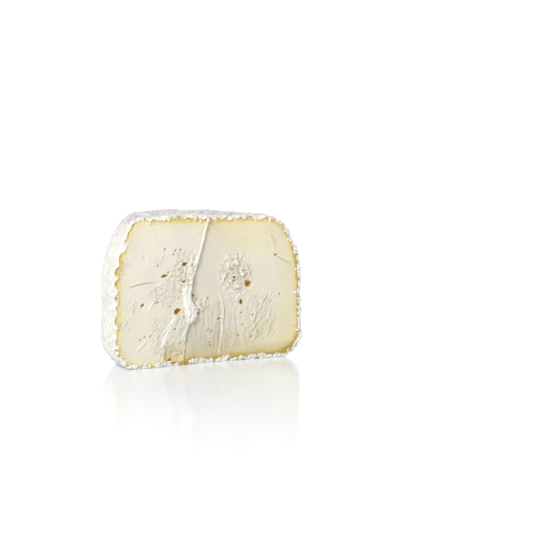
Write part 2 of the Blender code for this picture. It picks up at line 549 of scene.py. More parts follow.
    strokes: tuple[Stroke, ...] = (
        Stroke(((15.6, 16.6), (14.4, 14.6), (13.3, 12.4)), 0.6, 0.36),
        Stroke(((12.9, 12.2), (11.8, 10.4), (11.5, 9.0)), 0.55, 0.32),
        Stroke(((11.6, 9.2), (12.4, 7.4), (13.1, 5.8)), 0.65, 0.32),
        Stroke(((16.9, 9.6), (16.1, 8.2), (15.6, 6.6)), 0.5, 0.3),
        Stroke(((17.9, 14.0), (16.9, 12.0)), 0.5, 0.15),
        Stroke(((15.0, 10.8), (13.6, 8.9)), 0.4, -0.16),
        Stroke(((16.2, 12.6), (14.6, 10.2)), 0.4, -0.14),
        Stroke(((7.0, 25.2), (7.6, 22.6)), 0.9, 0.2),
        Stroke(((-21.0, 19.6), (-19.2, 20.2), (-16.7, 20.6), (-13.1, 20.6)), 0.5, -0.3),
        Stroke(((-20.6, 20.2), (-18.4, 20.9), (-14.6, 21.1)), 0.7, 0.12),
        Stroke(((-16.3, 23.6), (-16.3, 20.8)), 0.35, -0.07),
        Stroke(((-12.0, 20.6), (-14.4, 19.2)), 0.5, 0.14),
        Stroke(((-12.9, 17.6), (-15.0, 15.6), (-15.9, 14.0)), 0.5, 0.26),
        Stroke(((-17.6, 15.2), (-19.0, 14.1)), 0.5, 0.14),
        Stroke(((-16.4, 6.9), (-19.2, 4.3)), 0.5, 0.26),
        Stroke(((-15.0, 6.7), (-16.2, 4.6)), 0.5, 0.14),
        Stroke(((-5.8, 24.0), (-6.1, 21.3)), 0.7, -0.2),
        Stroke(((-4.4, 26.6), (-5.0, 24.4)), 0.9, 0.22),
        Stroke(((15.9, 30.4), (16.9, 28.9), (17.4, 27.0)), 0.6, 0.3),
        Stroke(((16.9, 30.8), (17.9, 29.2), (18.4, 27.6)), 0.5, -0.22),
        Stroke(((16.0, 26.6), (18.0, 26.3), (19.0, 25.7)), 0.5, 0.22),
        Stroke(((18.4, 25.2), (20.4, 23.9), (22.6, 23.1)), 0.6, -0.34),
        Stroke(((17.9, 24.6), (20.0, 23.4), (22.0, 22.7)), 0.6, 0.2),
        Stroke(((6.0, 29.8), (9.5, 29.9), (13.5, 29.3)), 0.5, -0.08),
        Stroke(((8.0, 28.4), (11.5, 28.2), (14.5, 27.4)), 0.5, 0.09),
        Stroke(((-1.1, 12.7), (-1.1, 8.3)), 0.4, -0.13),
        Stroke(((1.4, 7.4), (1.6, 2.9)), 0.4, -0.15),
        Stroke(((6.8, 12.2), (7.4, 9.4)), 0.4, -0.13),
        Stroke(((7.4, 8.6), (7.8, 5.8)), 0.4, -0.12),
        Stroke(((2.0, 10.3), (2.2, 7.6)), 0.4, -0.12),
    )

    def step_x(self, z: Field) -> Field:
        """The x of the long step at each height."""
        return line_x(self.step_line, z)

    def step(self, points: Points) -> tuple[Field, Field]:
        """The long step and its torn lip.

        Args:
            points: (n, 3) places on the flat cut face, in millimetres.

        Returns:
            The height, and how pale the lip is.
        """
        x, z = points[:, 0], points[:, 2]
        torn = within(self.torn_span, z)
        uneven = lumps(points, 0.9, 1.3)
        ragged = (0.07 + 0.3 * torn) * uneven + 0.06 * lumps(points, 0.35, 2.9)
        right = x - self.step_x(z) + ragged
        high = smooth_rise(16.0, 24.0, z)
        wall = self.step_wall * (1.0 + high)
        fall = self.step_fall * (1.0 - 0.35 * high) * smooth_rise(0.0, 1.0, right / wall)
        recovery = np.exp(-((np.maximum(right, 0.0) / self.step_recovery) ** 2))
        width = self.lip_width + 0.55 * torn
        lip = smooth_rise(-1.0, -0.1, right / width) * smooth_rise(0.3, 0.05, right)
        above_flap = smooth_rise(18.4, 19.6, z)
        strong = np.where(z > 15.0, above_flap, 0.15 * smooth_rise(10.6, 9.4, z))
        lip = lip * strong * np.clip(0.8 + 0.8 * uneven, 0.15, 1.4)
        band = torn * smooth_rise(-2.6, -1.2, right) * smooth_rise(0.3, 0.0, right)
        crumbly = band * beads(points, 0.9, 4.0) * np.clip(0.7 + 1.2 * uneven, 0.0, 1.3)
        height = self.lip_height * (lip + 1.1 * crumbly) - fall * recovery
        return height, np.clip(0.8 * lip + 0.6 * crumbly, 0.0, 1.0)

    def flap(self, points: Points) -> tuple[Field, Field, Field]:
        """The torn white flap with its lumpy ledge.

        Args:
            points: (n, 3) places on the flat cut face, in millimetres.

        Returns:
            The height, the paleness, and how far the flap hides the step.
        """
        x, z = points[:, 0], points[:, 2]
        ragged = 0.3 * lumps(points, 0.9, 3.1) + 0.15 * lumps(points, 0.4, 5.1)
        crumbly = beads(points, 1.0, 7.7)
        low = smooth_rise(15.5, 12.5, z)
        start, end = self.flap_span
        along = smooth_rise(start, start + 0.5, z + ragged) * smooth_rise(end, end - 0.9, z)
        from_left = x - line_x(self.flap_left, z) + ragged
        inside = smooth_rise(0.0, 1.0, from_left / (0.7 + 0.9 * low))
        inside = inside * smooth_rise(0.0, 0.25, line_x(self.flap_right, z) - x + 1.3 * ragged)
        torn = 0.8 * (crumbly - 0.8) + 0.9 * (beads(points, 0.6, 6.4) - 0.6)
        flap = inside * along * (1.0 + low * torn + 0.15 * lumps(points, 0.5, 6.1))

        above = z - np.interp(x, *zip(*self.ledge_line)) + 0.8 * ragged
        ledge = smooth_rise(0.0, 0.25, above) * smooth_rise(17.2, 14.5, z) * within(self.ledge_width, x)
        bits = np.maximum(0.0, 1.3 * beads(points, 0.75, 11.3) - 0.35 + 0.8 * lumps(points, 1.3, 11.3))
        height = np.maximum(self.flap_height * flap, self.ledge_height * ledge * bits)
        pale = flap + 0.8 * ledge * smooth_rise(0.6, 1.2, bits)
        cover = self.flap_cover * inside * along * smooth_rise(17.2, 15.2, z)
        return height, np.clip(1.2 * pale, 0.0, 1.0), cover

    def shelf(self, points: Points) -> tuple[Field, Field, Field]:
        """The lower shelf left of the step's foot, its torn edge and the notch below it.

        Args:
            points: (n, 3) places on the flat cut face, in millimetres.

        Returns:
            The height, the paleness, and where the notch is.
        """
        x, z = points[:, 0], points[:, 2]
        ragged = 0.22 * lumps(points, 1.1, 5.5) + 0.1 * lumps(points, 0.45, 6.5)
        right = x - line_x(self.tear_line, z) + 0.6 * ragged
        left = self.step_x(z) - x
        reach = smooth_rise(13.4, 11.6, z)
        inside = smooth_rise(0.4, 3.0, right) * smooth_rise(-0.4, 0.0, left) * reach
        wedge = np.interp(z, (5.5, 12.0), (1.3, 0.7))
        above_notch = (0.2 + 0.8 * smooth_rise(3.8, 6.5, z)) * reach
        uneven = np.clip(0.85 + 0.6 * lumps(points, 1.6, 8.3), 0.2, 1.4)
        ridge = smooth_rise(-0.15, 0.8, right / wedge) * smooth_rise(5.5, 1.2, right)
        lip = smooth_rise(-0.2, 0.15, right) * smooth_rise(1.7, 0.6, right / wedge)
        lip = lip * above_notch * uneven
        height = self.ridge_height * ridge * above_notch * uneven - self.shelf_fall * inside

        slope = 0.12 * (x - self.notch_left)
        top = self.notch_top + slope + 0.7 * lumps(points, 1.7, 9.2) + 2.0 * ragged
        notch = smooth_rise(0.0, 1.3, x - self.notch_left + 1.5 * ragged) * smooth_rise(-0.4, 0.2, left)
        notch = notch * smooth_rise(-1.0, 2.8, top - z)
        floor = 0.6 + 0.4 * smooth_rise(0.0, 3.5, z) - 0.5 * lumps(points, 1.5, 10.7)
        height -= self.notch_fall * notch * floor
        height -= 0.25 * notch * smooth_rise(-9.6, -11.2, x) * smooth_rise(3.2, 1.2, z)
        swirl_x, swirl_z = self.swirl_centre
        ring = np.hypot(x - swirl_x, z - swirl_z) - self.swirl_radius + ragged
        swirl = hump(ring, 0.65) * smooth_rise(-0.1, 0.9, z - swirl_z + 0.3 * (x - swirl_x))
        pale = np.clip(1.0 * lip + 0.4 * swirl + 0.25 * inside * (1.0 - notch), 0.0, 1.0)
        return height + 0.34 * swirl, pale, notch

    def rib(self, points: Points) -> tuple[Field, Field]:
        """The thin rib low on the face, with the furrow on its left.

        Args:
            points: (n, 3) places on the flat cut face, in millimetres.

        Returns:
            The height and the paleness.
        """
        x, z = points[:, 0], points[:, 2]
        wander = 0.25 * lumps(points, 1.6, 2.2) + 0.1 * lumps(points, 0.5, 2.6)
        distance, share = line_distance(self.rib_line, x + wander, z)
        ends = smooth_rise(0.0, 0.2, share) * smooth_rise(1.0, 0.9, share)
        uneven = np.clip(0.8 + 0.9 * lumps(points, 1.8, 3.7), 0.15, 1.4)
        rib = hump(distance, self.rib_width) * ends * uneven
        offset = line_x(self.rib_line, z) - x - 0.7
        furrow = hump(offset, 0.9) * within(self.rib_furrow, z)
        tip_x, tip_z = self.rib_line[-1]
        tip = hump(np.hypot(x - tip_x, (z - tip_z) * 0.6), 0.9)
        height = self.rib_height * (rib + tip) - self.rib_furrow_depth * furrow
        return height, np.clip(0.8 * rib + tip, 0.0, 1.0)

    def texture(self, points: Points) -> tuple[Field, Field, Field, Field]:
        """The uneven paste between the marks.

        Args:
            points: (n, 3) places on the flat cut face, in millimetres.

        Returns:
            The height, the pale crests (partly painted highlight), the gaps between the lumps (for
            painted honey shade) and the roughness.
        """
        x, z = points[:, 0], points[:, 2]
        patchy = lumps(points, 2.6, 19.3)
        crumb_x, crumb_z = self.crumb_centre
        out = np.hypot((x - crumb_x) / 0.9, (z - crumb_z) / 1.1)
        centre = smooth_rise(*self.crumb_fade, out - 1.6 * patchy)
        dragged = self.dragged.share(x, z)
        furrowed = self.furrowed.share(x, z)
        left = self.left_side.share(x, z)
        left = left * smooth_rise(-0.35, 0.25, lumps(points, 4.2, 23.3) + 0.02 * (x + 12.0))
        by_step = self.by_step.share(x, z)
        shelf = self.lower_shelf.share(x, z)

        warped = points + 0.25 * lumps(points, 0.5, 3.3)[:, None]
        crumbly = beads(warped, 0.6, 4.4) * np.clip(0.5 + 1.6 * lumps(points, 1.2, 8.1), 0.0, 1.5)
        height = centre * (self.crumb_height * crumbly + 0.12 * lumps(points, 0.45, 8.6))
        hatch = ridges(points, 56.0, 2.6, 0.55, 1.7)
        height += self.drag_height * dragged * hatch
        uneven = (0.4 + 0.6 * smooth_rise(3.0, 6.0, x)) * lumps(points, 1.1, 6.9)
        height += self.furrow_height * furrowed * (ridges(points, 93.0, 6.0, 1.3, 6.3) + uneven)
        height += left * 0.1 * ridges(points, 48.0, 2.0, 0.8, 9.9) * np.maximum(0.0, 0.4 + 1.6 * patchy)
        height += (0.2 * by_step + 0.2 * left) * lumps(points, 0.8, 12.7)
        height += 0.1 * (left + by_step + 0.35 * furrowed) * lumps(points, 0.42, 13.1)
        height += shelf * (0.1 * ridges(points, 58.0, 2.4, 0.8, 14.2) + 0.08 * lumps(points, 0.6, 15.0))
        height += 0.05 * lumps(points, 2.2, 16.4) - 0.3 * lumps(points, 7.0)
        rough = np.clip(centre + dragged + 0.7 * furrowed + 0.9 * left + by_step + shelf, 0.2, 1.0)
        # Paleness on the crumbly crests and on the hatch's crests is painted highlight.
        pale = centre * smooth_rise(0.35, 0.75, crumbly) + 0.45 * dragged * smooth_rise(0.5, 1.0, hatch)
        # The gaps between the crumbly lumps are kept for painted shade in honey.
        gaps = centre * smooth_rise(0.32, 0.06, crumbly)
        gaps = gaps * smooth_rise(-0.05, 0.35, lumps(points, 0.8, 8.9))
        return height, np.clip(pale, 0.0, 1.0), gaps, rough

    def holes(self, points: Points) -> tuple[Field, Field]:
        """The eyes and pores.

        Args:
            points: (n, 3) places on the flat cut face, in millimetres.

        Returns:
            The height, and how deep in an eye each place lies.
        """
        x, z = points[:, 0], points[:, 2]
        ragged = 0.42 * lumps(points, 0.6, 21.0) + 0.3 * lumps(points, 1.1, 22.0)
        height, inside = np.zeros_like(x), np.zeros_like(x)
        pores = [Eye(px, pz, self.pore_width, self.pore_width * 0.8, self.pore_depth)
                 for px, pz in self.pores]
        for eye in (*self.eyes, *pores):
            turn = math.radians(eye.turn)
            run, rise = x - eye.x, z - eye.z
            across = (run * math.cos(turn) + rise * math.sin(turn)) / (eye.width / 2)
            up = (rise * math.cos(turn) - run * math.sin(turn)) / (eye.height / 2)
            out = np.hypot(across, up) + ragged * min(1.0, 0.9 * eye.width)
            hole = smooth_rise(1.12, 0.55, out)
            rim = hump(out - 1.35, 0.9)
            height += 0.07 * rim * min(1.0, eye.depth) - eye.depth * hole
            inside = np.maximum(inside, hole * min(1.0, 0.25 + eye.depth * 0.75))
        return height, inside

    def look(self, points: Points, from_rind: Field) -> CutLook:
        """Everything about the cut face at (n, 3) places on it.

        Args:
            points: The places, in millimetres; only x and z matter.
            from_rind: How far each place lies from the drum's outline.

        Returns:
            The height out of the cut plane and what the finish needs to know.
        """
        flat = np.column_stack((points[:, 0], np.zeros(len(points)), points[:, 2]))
        x, z = flat[:, 0], flat[:, 2]
        step, step_pale = self.step(flat)
        flap, flap_pale, cover = self.flap(flat)
        shelf, shelf_pale, notch = self.shelf(flat)
        rib, rib_pale = self.rib(flat)
        texture, texture_pale, gaps, rough = self.texture(flat)
        holes, eye = self.holes(flat)
        texture *= 1.0 - 0.8 * notch
        roll = smooth_rise(self.foot_roll_height, 0.0, z)
        roll = roll * smooth_rise(self.foot_roll_start, self.foot_roll_start + 3.0, x)
        height = step * (1.0 - cover) + flap + shelf + rib + texture + holes
        height -= self.foot_roll_fall * roll
        # Paleness of the lips, flap, shelf, rib, crumbly crests and strokes: partly whiter torn paste,
        # partly painted highlight on crests, so a stroke's paleness follows its height.
        pale = step_pale + flap_pale + shelf_pale + rib_pale + texture_pale
        for stroke in self.strokes:
            distance, share = line_distance(stroke.line, x, z)
            body = hump(distance, stroke.width) * np.sqrt(np.sin(np.pi * np.clip(share, 0.02, 0.98)))
            height += stroke.height * body
            pale += body * 1.6 * stroke.height
        height -= 0.2 * smooth_rise(1.5, 0.4, from_rind)
        # Darkening for the finish: painted shade low on the face, painted shadow of the step right of
        # its foot, and painted shade in the notch; right of the step, in the dish, the paste is simply
        # made darker. Paler places are darkened less.
        dish = smooth_rise(-0.3, 0.5, x - self.step_x(z)) * smooth_rise(8.5, 2.0, x)
        low = smooth_rise(13.0, 3.0, z) * smooth_rise(-7.0, -5.5, x)
        low = low * np.maximum(smooth_rise(16.0, 4.0, x), smooth_rise(5.0, 2.0, z))
        by_step = smooth_rise(0.1, 0.5, x - self.step_x(z)) * smooth_rise(2.4, 0.8, x - self.step_x(z))
        by_step = by_step * smooth_rise(11.0, 9.0, z)
        darkening = 0.5 * dish + 0.7 * low + 0.4 * by_step + 0.45 * notch - 0.4 * pale
        # The gaps between lumps join the eyes, for the finish's painted honey shade.
        return CutLook(
            height, np.clip(pale, 0.0, 1.0), np.maximum(eye, 0.4 * gaps), rough,
            np.clip(darkening, 0.0, 1.0), notch,
        )


class Nodes:
    """Short calls for the node tree of one material."""

    def __init__(self, name: str) -> None:
        """Starts the material, with places on the piece in millimetres.

        Args:
            name: The material's name.
        """
        self.material = bpy.data.materials.new(name)
        self.material.use_nodes = True
        self.tree = self.material.node_tree
        self.surface = self.tree.nodes["Principled BSDF"]
        place = self.add("ShaderNodeTexCoord")
        scale = self.add("ShaderNodeMapping")
        scale.inputs["Scale"].default_value = (1 / MM, 1 / MM, 1 / MM)
        self.link(place.outputs["Object"], scale.inputs["Vector"])
        self.millimetres = scale.outputs["Vector"]

    def add(self, kind: str, **settings: object) -> bpy.types.Node:
        """Adds a node.

        Args:
            kind: The node's type.
            settings: Properties of the node to set.

        Returns:
            The new node.
        """
        node = self.tree.nodes.new(kind)
        for name, value in settings.items():
            setattr(node, name, value)
        return node

    def link(self, output: bpy.types.NodeSocket, target: bpy.types.NodeSocket) -> None:
        """Joins two sockets."""
        self.tree.links.new(output, target)

    def feed(self, target: bpy.types.NodeSocket, value: object) -> None:
        """Links a socket to a target, or sets the target's own value.

        Args:
            target: The input socket.
            value: An output socket, a number or a colour.
        """
        if isinstance(value, bpy.types.NodeSocket):
            self.link(value, target)
        else:
            target.default_value = value

    def attribute(self, name: str) -> bpy.types.NodeSocket:
        """The value that the mesh keeps for each vertex under a name."""
        return self.add("ShaderNodeAttribute", attribute_name=name).outputs["Fac"]

    def noise(self, size: float, detail: float = 2.0, roughness: float = 0.5) -> bpy.types.NodeSocket:
        """Noise on the piece's own coordinates.

        Args:
            size: The size of its lumps, in millimetres.
            detail: How many finer layers it has.
            roughness: How strong they are.

        Returns:
            A value from 0 to 1.
        """
        node = self.add("ShaderNodeTexNoise")
        node.inputs["Scale"].default_value = 1.0 / size
        node.inputs["Detail"].default_value = detail
        node.inputs["Roughness"].default_value = roughness
        self.link(self.millimetres, node.inputs["Vector"])
        return node.outputs["Fac"]

    def scratches(self, size: float, lean: float, stretch: float) -> bpy.types.NodeSocket:
        """Noise drawn out along one direction of the cut face.

        Args:
            size: How far apart the scratches are, in millimetres.
            lean: Their direction in degrees, from +X towards +Z.
            stretch: How many times longer than wide they are.

        Returns:
            A value from 0 to 1.
        """
        turned = self.add("ShaderNodeMapping", vector_type="TEXTURE")
        turned.inputs["Rotation"].default_value = (0.0, -math.radians(lean), 0.0)
        turned.inputs["Scale"].default_value = (size * stretch, size, size)
        self.link(self.millimetres, turned.inputs["Vector"])
        node = self.add("ShaderNodeTexNoise")
        node.inputs["Scale"].default_value = 1.0
        node.inputs["Detail"].default_value = 3.0
        self.link(turned.outputs["Vector"], node.inputs["Vector"])
        return node.outputs["Fac"]

    def math(self, operation: str, first: object, second: object = 0.0) -> bpy.types.NodeSocket:
        """One sum of two values.

        Args:
            operation: Blender's name of the sum.
            first: A number or a socket.
            second: A number or a socket.

        Returns:
            The result's socket.
        """
        node = self.add("ShaderNodeMath", operation=operation)
        self.feed(node.inputs[0], first)
        self.feed(node.inputs[1], second)
        return node.outputs[0]

    def spread(self, value: object, low: float, high: float,
               start: float = 0.0, end: float = 1.0) -> bpy.types.NodeSocket:
        """Takes a value smoothly from one range to another, and keeps it inside.

        Args:
            value: A socket.
            low: The value that becomes start.
            high: The value that becomes end.
            start: The result at low.
            end: The result at high.

        Returns:
            The result's socket.
        """
        node = self.add("ShaderNodeMapRange", interpolation_type="SMOOTHSTEP")
        for name, number in zip(("From Min", "From Max", "To Min", "To Max"), (low, high, start, end)):
            node.inputs[name].default_value = number
        self.feed(node.inputs["Value"], value)
        return node.outputs["Result"]

    def ramp(self, value: object, stops: Sequence[tuple[float, Colour]]) -> bpy.types.NodeSocket:
        """A colour that follows a value through some stops.

        Args:
            value: A socket, from 0 to 1.
            stops: Places from 0 to 1 and their colours.

        Returns:
            The colour's socket.
        """
        node = self.add("ShaderNodeValToRGB")
        elements = node.color_ramp.elements
        elements.remove(elements[1])
        for index, (place, colour) in enumerate(stops):
            element = elements[0] if index == 0 else elements.new(place)
            element.position = place
            element.color = (*colour, 1.0)
        self.feed(node.inputs["Fac"], value)
        return node.outputs["Color"]

    def mix(self, share: object, first: object, second: object,
            blend: str = "MIX") -> bpy.types.NodeSocket:
        """One colour turning into another.

        Args:
            share: How much of the second one, from 0 to 1.
            first: A colour or a socket.
            second: A colour or a socket.
            blend: Blender's name of the way in which they mix.

        Returns:
            The colour's socket.
        """
        node = self.add("ShaderNodeMix", data_type="RGBA", clamp_factor=True, blend_type=blend)
        self.feed(node.inputs["Factor"], share)
        for target, colour in ((node.inputs[6], first), (node.inputs[7], second)):
            self.feed(target, (*colour, 1.0) if isinstance(colour, tuple) else colour)
        return node.outputs[2]

    def bump(self, height: bpy.types.NodeSocket, depth: float, strength: object = 1.0) -> None:
        """Fine relief on the surface.

        Args:
            height: Its pattern.
            depth: Its depth in millimetres.
            strength: How strong it is, a number or a socket from 0 to 1.
        """
        node = self.add("ShaderNodeBump")
        node.inputs["Distance"].default_value = depth * MM
        self.feed(node.inputs["Strength"], strength)
        self.link(height, node.inputs["Height"])
        self.link(node.outputs["Normal"], self.surface.inputs["Normal"])


@dataclass(frozen=True)
class PasteFinish:
    """Moist ivory paste, more yellow under the rind, with amber in its eyes that is partly painted
    shade, painted shade in hollows and low down, and painted highlight on crests.
    """

    ivory: Colour = (0.87, 0.81, 0.69)
    warm: Colour = (0.87, 0.80, 0.65)
    butter: Colour = (0.87, 0.77, 0.50)
    pale: Colour = (0.96, 0.95, 0.89)
    # Multiplied in as painted shade low on the face, by the step's foot and in the notch, and as plain
    # darkening in the dish right of the step.
    darkening_grey: Colour = (0.80, 0.79, 0.76)
    shade_olive: Colour = (0.80, 0.71, 0.50)
    amber: Colour = (0.66, 0.39, 0.02)
    honey: Colour = (0.73, 0.54, 0.15)
    creamline: tuple[tuple[float, Colour], ...] = (
        (0.0, (0.87, 0.77, 0.50)), (0.3, (0.86, 0.72, 0.38)), (0.6, (0.80, 0.63, 0.22)),
        (1.0, (0.68, 0.45, 0.08)),
    )
    roughness: float = 0.42
    translucency: float = 0.2

    def material(self) -> bpy.types.Material:
        """Makes the paste's material.

        Returns:
            The material.
        """
        nodes = Nodes("ivory_paste")
        mottle = nodes.math("MULTIPLY", nodes.spread(nodes.noise(5.0, 3.0), 0.35, 0.7), 0.35)
        paste = nodes.mix(mottle, self.ivory, self.warm)
        paste = nodes.mix(nodes.attribute("yellow"), paste, self.butter)
        gold = nodes.attribute("gold")
        paste = nodes.mix(nodes.spread(gold, 0.0, 0.2), paste, nodes.ramp(gold, self.creamline))
        # Painted shade: the paste is multiplied darker low on the face, by the step's foot and in the
        # notch; in the dish right of the step it is darkened too.
        paste = nodes.mix(nodes.attribute("darkening"), paste, self.darkening_grey, "MULTIPLY")
        # Painted shade: small hollows turn darker olive.
        hollow_shade = nodes.math("MULTIPLY", nodes.attribute("hollow_shade"), 0.65)
        paste = nodes.mix(hollow_shade, paste, self.shade_olive, "MULTIPLY")
        # Paler lips, flap and crests: partly whiter torn paste, partly painted highlight.
        uneven = nodes.spread(nodes.noise(0.8), 0.2, 0.6, 0.6, 1.0)
        pale = nodes.math("MULTIPLY", nodes.attribute("pale"), uneven)
        paste = nodes.mix(nodes.math("MULTIPLY", pale, 0.85), paste, self.pale)
        # Eyes and the gaps between lumps turn honey, then darker amber with depth: partly the paste's
        # deeper yellow, partly painted shade.
        hole = nodes.attribute("eye")
        inside = nodes.ramp(hole, ((0.0, self.ivory), (0.45, self.honey), (1.0, self.amber)))
        paste = nodes.mix(nodes.spread(hole, 0.05, 0.45), paste, inside)
        nodes.link(paste, nodes.surface.inputs["Base Color"])

        grain = nodes.math("ADD", nodes.noise(0.5, 4.0, 0.65), nodes.scratches(0.4, 55.0, 5.0))
        nodes.bump(grain, 0.36, nodes.spread(nodes.attribute("rough"), 0.0, 1.0, 0.12, 0.9))
        gloss = nodes.spread(nodes.noise(0.7), 0.2, 0.8, self.roughness - 0.08, self.roughness + 0.12)
        nodes.link(gloss, nodes.surface.inputs["Roughness"])
        nodes.surface.inputs["Specular IOR Level"].default_value = 0.4
        nodes.surface.inputs["Subsurface Weight"].default_value = self.translucency
        nodes.surface.inputs["Subsurface Radius"].default_value = (1.0, 0.6, 0.3)
        nodes.surface.inputs["Subsurface Scale"].default_value = 1.2 * MM
        return nodes.material


@dataclass(frozen=True)
class RindFinish:
    """Dry white bloom over ivory furrows, greyer on the crown with painted shade in its furrows,
    whitened with painted light near the cut edge, and golden where it is cut.
    """

    bloom: Colour = (0.91, 0.90, 0.875)
    painted_rim_light: Colour = (0.98, 0.965, 0.925)
    furrow: Colour = (0.85, 0.79, 0.67)
    gold: Colour = (0.72, 0.57, 0.17)
    slate: Colour = (0.70, 0.705, 0.715)
    shadow: Colour = (0.27, 0.28, 0.30)
    mould: tuple[tuple[float, Colour], ...] = (
        (0.0, (0.80, 0.81, 0.79)), (0.35, (0.64, 0.68, 0.67)), (0.7, (0.36, 0.45, 0.43)),
        (1.0, (0.13, 0.22, 0.20)),
    )
    roughness: float = 0.85

    def material(self) -> bpy.types.Material:
        """Makes the rind's material.

        Returns:
            The material.
        """
        nodes = Nodes("bloomy_rind")
        valley = nodes.attribute("valley")
        speckle = nodes.spread(nodes.noise(0.6, 3.0, 0.6), 0.45, 0.75)
        grey = nodes.math("MULTIPLY", nodes.spread(nodes.noise(6.0, 3.0), 0.5, 0.62), 0.6)
        furrow = nodes.mix(grey, self.furrow, self.slate)
        on_crown = nodes.attribute("crown")
        # Painted shade: on the crown the furrows turn towards the dark shadow colour, in patches.
        scribble = nodes.math("MULTIPLY", on_crown, nodes.spread(nodes.noise(4.0, 2.0), 0.3, 0.6))
        furrow = nodes.mix(scribble, furrow, self.shadow)
        # Painted light: near the cut edge, and on the crumbs, the rind is whiter.
        bloom = nodes.mix(nodes.attribute("painted_rim_light"), self.bloom, self.painted_rim_light)
        rind = nodes.mix(nodes.math("MULTIPLY", valley, 0.85), bloom, furrow)
        rind = nodes.mix(nodes.math("MULTIPLY", speckle, 0.12), rind, self.furrow)
        crown = nodes.math("MULTIPLY", on_crown, nodes.spread(nodes.noise(3.0, 4.0, 0.6), 0.3, 0.65))
        rind = nodes.mix(nodes.math("MULTIPLY", crown, 0.6), rind, self.slate)
        rind = nodes.mix(nodes.attribute("gold"), rind, self.gold)
        clumps = nodes.spread(nodes.noise(0.9, 4.0, 0.65), 0.3, 0.65, 0.3, 1.0)
        mould = nodes.math("MULTIPLY", nodes.attribute("mould"), clumps)
        rind = nodes.mix(nodes.spread(mould, 0.0, 0.45), rind, nodes.ramp(mould, self.mould))
        nodes.link(rind, nodes.surface.inputs["Base Color"])
        coarse = nodes.math("MULTIPLY", nodes.noise(1.0, 3.0), 0.8)
        grain = nodes.math("ADD", nodes.noise(0.35, 4.0, 0.65), coarse)
        nodes.bump(grain, 0.24, 0.8)
        nodes.surface.inputs["Roughness"].default_value = self.roughness
        nodes.surface.inputs["Specular IOR Level"].default_value = 0.25
        nodes.surface.inputs["Subsurface Weight"].default_value = 0.35
        nodes.surface.inputs["Subsurface Radius"].default_value = (1.0, 0.85, 0.7)
        nodes.surface.inputs["Subsurface Scale"].default_value = 0.5 * MM
        return nodes.material


@dataclass(frozen=True)
class FloorFinish:
    """A white tabletop that gives back a faint soft reflection."""

    white: Colour = (0.84, 0.875, 0.92)
    glow: float = 0.12
    roughness: float = 0.13

    def material(self) -> bpy.types.Material:
        """Makes the floor's material.

        Returns:
            The material.
        """
        nodes = Nodes("white_tabletop")
        nodes.surface.inputs["Base Color"].default_value = (*self.white, 1.0)
        nodes.surface.inputs["Roughness"].default_value = self.roughness
        nodes.surface.inputs["Specular IOR Level"].default_value = 0.3
        nodes.surface.inputs["Specular Tint"].default_value = (0.86, 0.92, 1.0, 1.0)
        nodes.surface.inputs["Emission Color"].default_value = (1.0, 1.0, 1.0, 1.0)
        nodes.surface.inputs["Emission Strength"].default_value = self.glow
        return nodes.material


def finish_piece(
    shape: bmesh.types.BMesh, name: str, material: bpy.types.Material
) -> bpy.types.Object:
    """Turns a mesh in millimetres into a piece of the object.

    Args:
        shape: The closed mesh; it is freed.
        name: The piece's name.
        material: Its material.

    Returns:
        The piece, riding on the cheese's body.
    """
    bmesh.ops.recalc_face_normals(shape, faces=shape.faces)
    bmesh.ops.scale(shape, vec=(MM, MM, MM), verts=shape.verts)
    mesh = bpy.data.meshes.new(name)
    shape.to_mesh(mesh)
    shape.free()
    mesh.shade_smooth()
    mesh.materials.append(material)
    piece = bpy.data.objects.new(name, mesh)
    bpy.context.scene.collection.objects.link(piece)
    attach(piece, BODY)
    return piece


